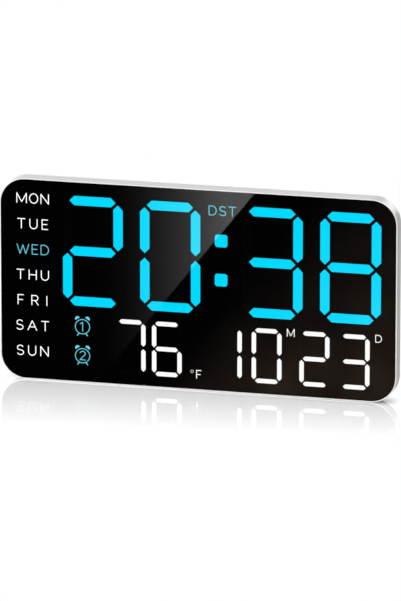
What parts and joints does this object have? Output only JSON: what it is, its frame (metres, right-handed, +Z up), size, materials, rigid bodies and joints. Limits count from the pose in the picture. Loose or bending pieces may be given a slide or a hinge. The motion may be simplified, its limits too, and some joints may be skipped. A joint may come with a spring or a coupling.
{
  "type": "digital wall clock",
  "caption": "Wide thin digital wall clock with a white frame, smoked front, lit segment digits and weekday words, and a back with keyholes, keys and a fold-out stand.",
  "frame": {"origin": "middle of the bounding box's bottom face, on the plane the clock stands on", "axes": "+X to the right as the clock is read, -Y out of the front, +Z up"},
  "size_m": [0.325, 0.0234, 0.166],
  "materials": {
    "white_gloss_plastic": "moulded white plastic with a soft gloss",
    "white_satin_plastic": "white plastic with a fine moulded texture",
    "smoked_panel": "polished smoked see-through sheet",
    "black_film": "printed black film",
    "black_tape": "thin black foam tape",
    "reflector_plastic": "white light-box plastic",
    "cyan_lens": "cast cyan segment resin, lit",
    "white_lens": "cast milky segment resin, lit",
    "board_laminate": "green solder mask on laminate",
    "lamp_body": "lamp body with clear resin",
    "black_moulding": "black moulding compound",
    "plated_steel": "bright plated steel",
    "can_aluminium": "drawn aluminium can",
    "grey_key_plastic": "light grey key plastic",
    "foot_rubber": "soft black rubber"
  },
  "bodies": {
    "clock": {"front_frame": "white_gloss_plastic", "front_panel": "smoked_panel", "mask_film": "black_film", "panel_tape": "black_tape", "segment_reflector": "reflector_plastic", "colon_dots": "cyan_lens", "led_board": "board_laminate", "segment_leds": "lamp_body", "legend_leds": "lamp_body", "microcontroller": "black_moulding", "led_driver_chips": "black_moulding", "clock_crystal": "plated_steel", "power_capacitor": "can_aluminium", "buzzer": "black_moulding", "temperature_sensor": "black_moulding", "infrared_receiver": "black_moulding", "light_sensor": "black_moulding", "coin_cell_holder": "black_moulding", "coin_cell": "plated_steel", "cell_clip": "plated_steel", "power_board": "board_laminate", "power_board_screws": "plated_steel", "usb_socket": "plated_steel", "usb_tongue": "black_moulding", "board_link": "black_moulding", "button_switches": "black_moulding", "rear_cover": "white_satin_plastic", "case_screws": "plated_steel", "board_screws": "plated_steel", "stand_hinge_pin": "plated_steel", "hour_tens": "cyan_lens", "hour_units": "cyan_lens", "minute_tens": "cyan_lens", "minute_units": "cyan_lens", "temperature_tens": "white_lens", "temperature_units": "white_lens", "month_tens": "white_lens", "month_units": "white_lens", "day_tens": "white_lens", "day_units": "white_lens"},
    "stand": {"stand_leg": "white_satin_plastic", "stand_foot_pad": "foot_rubber"},
    "mode_key": {"mode_button": "grey_key_plastic", "mode_plunger": "black_moulding"},
    "up_key": {"up_button": "grey_key_plastic", "up_plunger": "black_moulding"},
    "down_key": {"down_button": "grey_key_plastic", "down_plunger": "black_moulding"},
    "alarm_key": {"alarm_button": "grey_key_plastic", "alarm_plunger": "black_moulding"},
    "battery_lid": {"battery_door": "white_satin_plastic"}
  },
  "joints": [
    {"name": "stand_hinge", "type": "hinge", "parent": "clock", "child": "stand", "pos_m": [0, 0.00945, 0.08], "axis": [1, 0, 0], "range_deg": [0, 30]},
    {"name": "mode_press", "type": "slide", "parent": "clock", "child": "mode_key", "axis": [0, -1, 0], "range_m": [0, 0.0005], "stiffness_N_per_m": 1000},
    {"name": "up_press", "type": "slide", "parent": "clock", "child": "up_key", "axis": [0, -1, 0], "range_m": [0, 0.0005], "stiffness_N_per_m": 1000},
    {"name": "down_press", "type": "slide", "parent": "clock", "child": "down_key", "axis": [0, -1, 0], "range_m": [0, 0.0005], "stiffness_N_per_m": 1000},
    {"name": "alarm_press", "type": "slide", "parent": "clock", "child": "alarm_key", "axis": [0, -1, 0], "range_m": [0, 0.0005], "stiffness_N_per_m": 1000},
    {"name": "battery_door_lift", "type": "slide", "parent": "clock", "child": "battery_lid", "axis": [0, 1, 0], "range_m": [0, 0.025]}
  ]
}
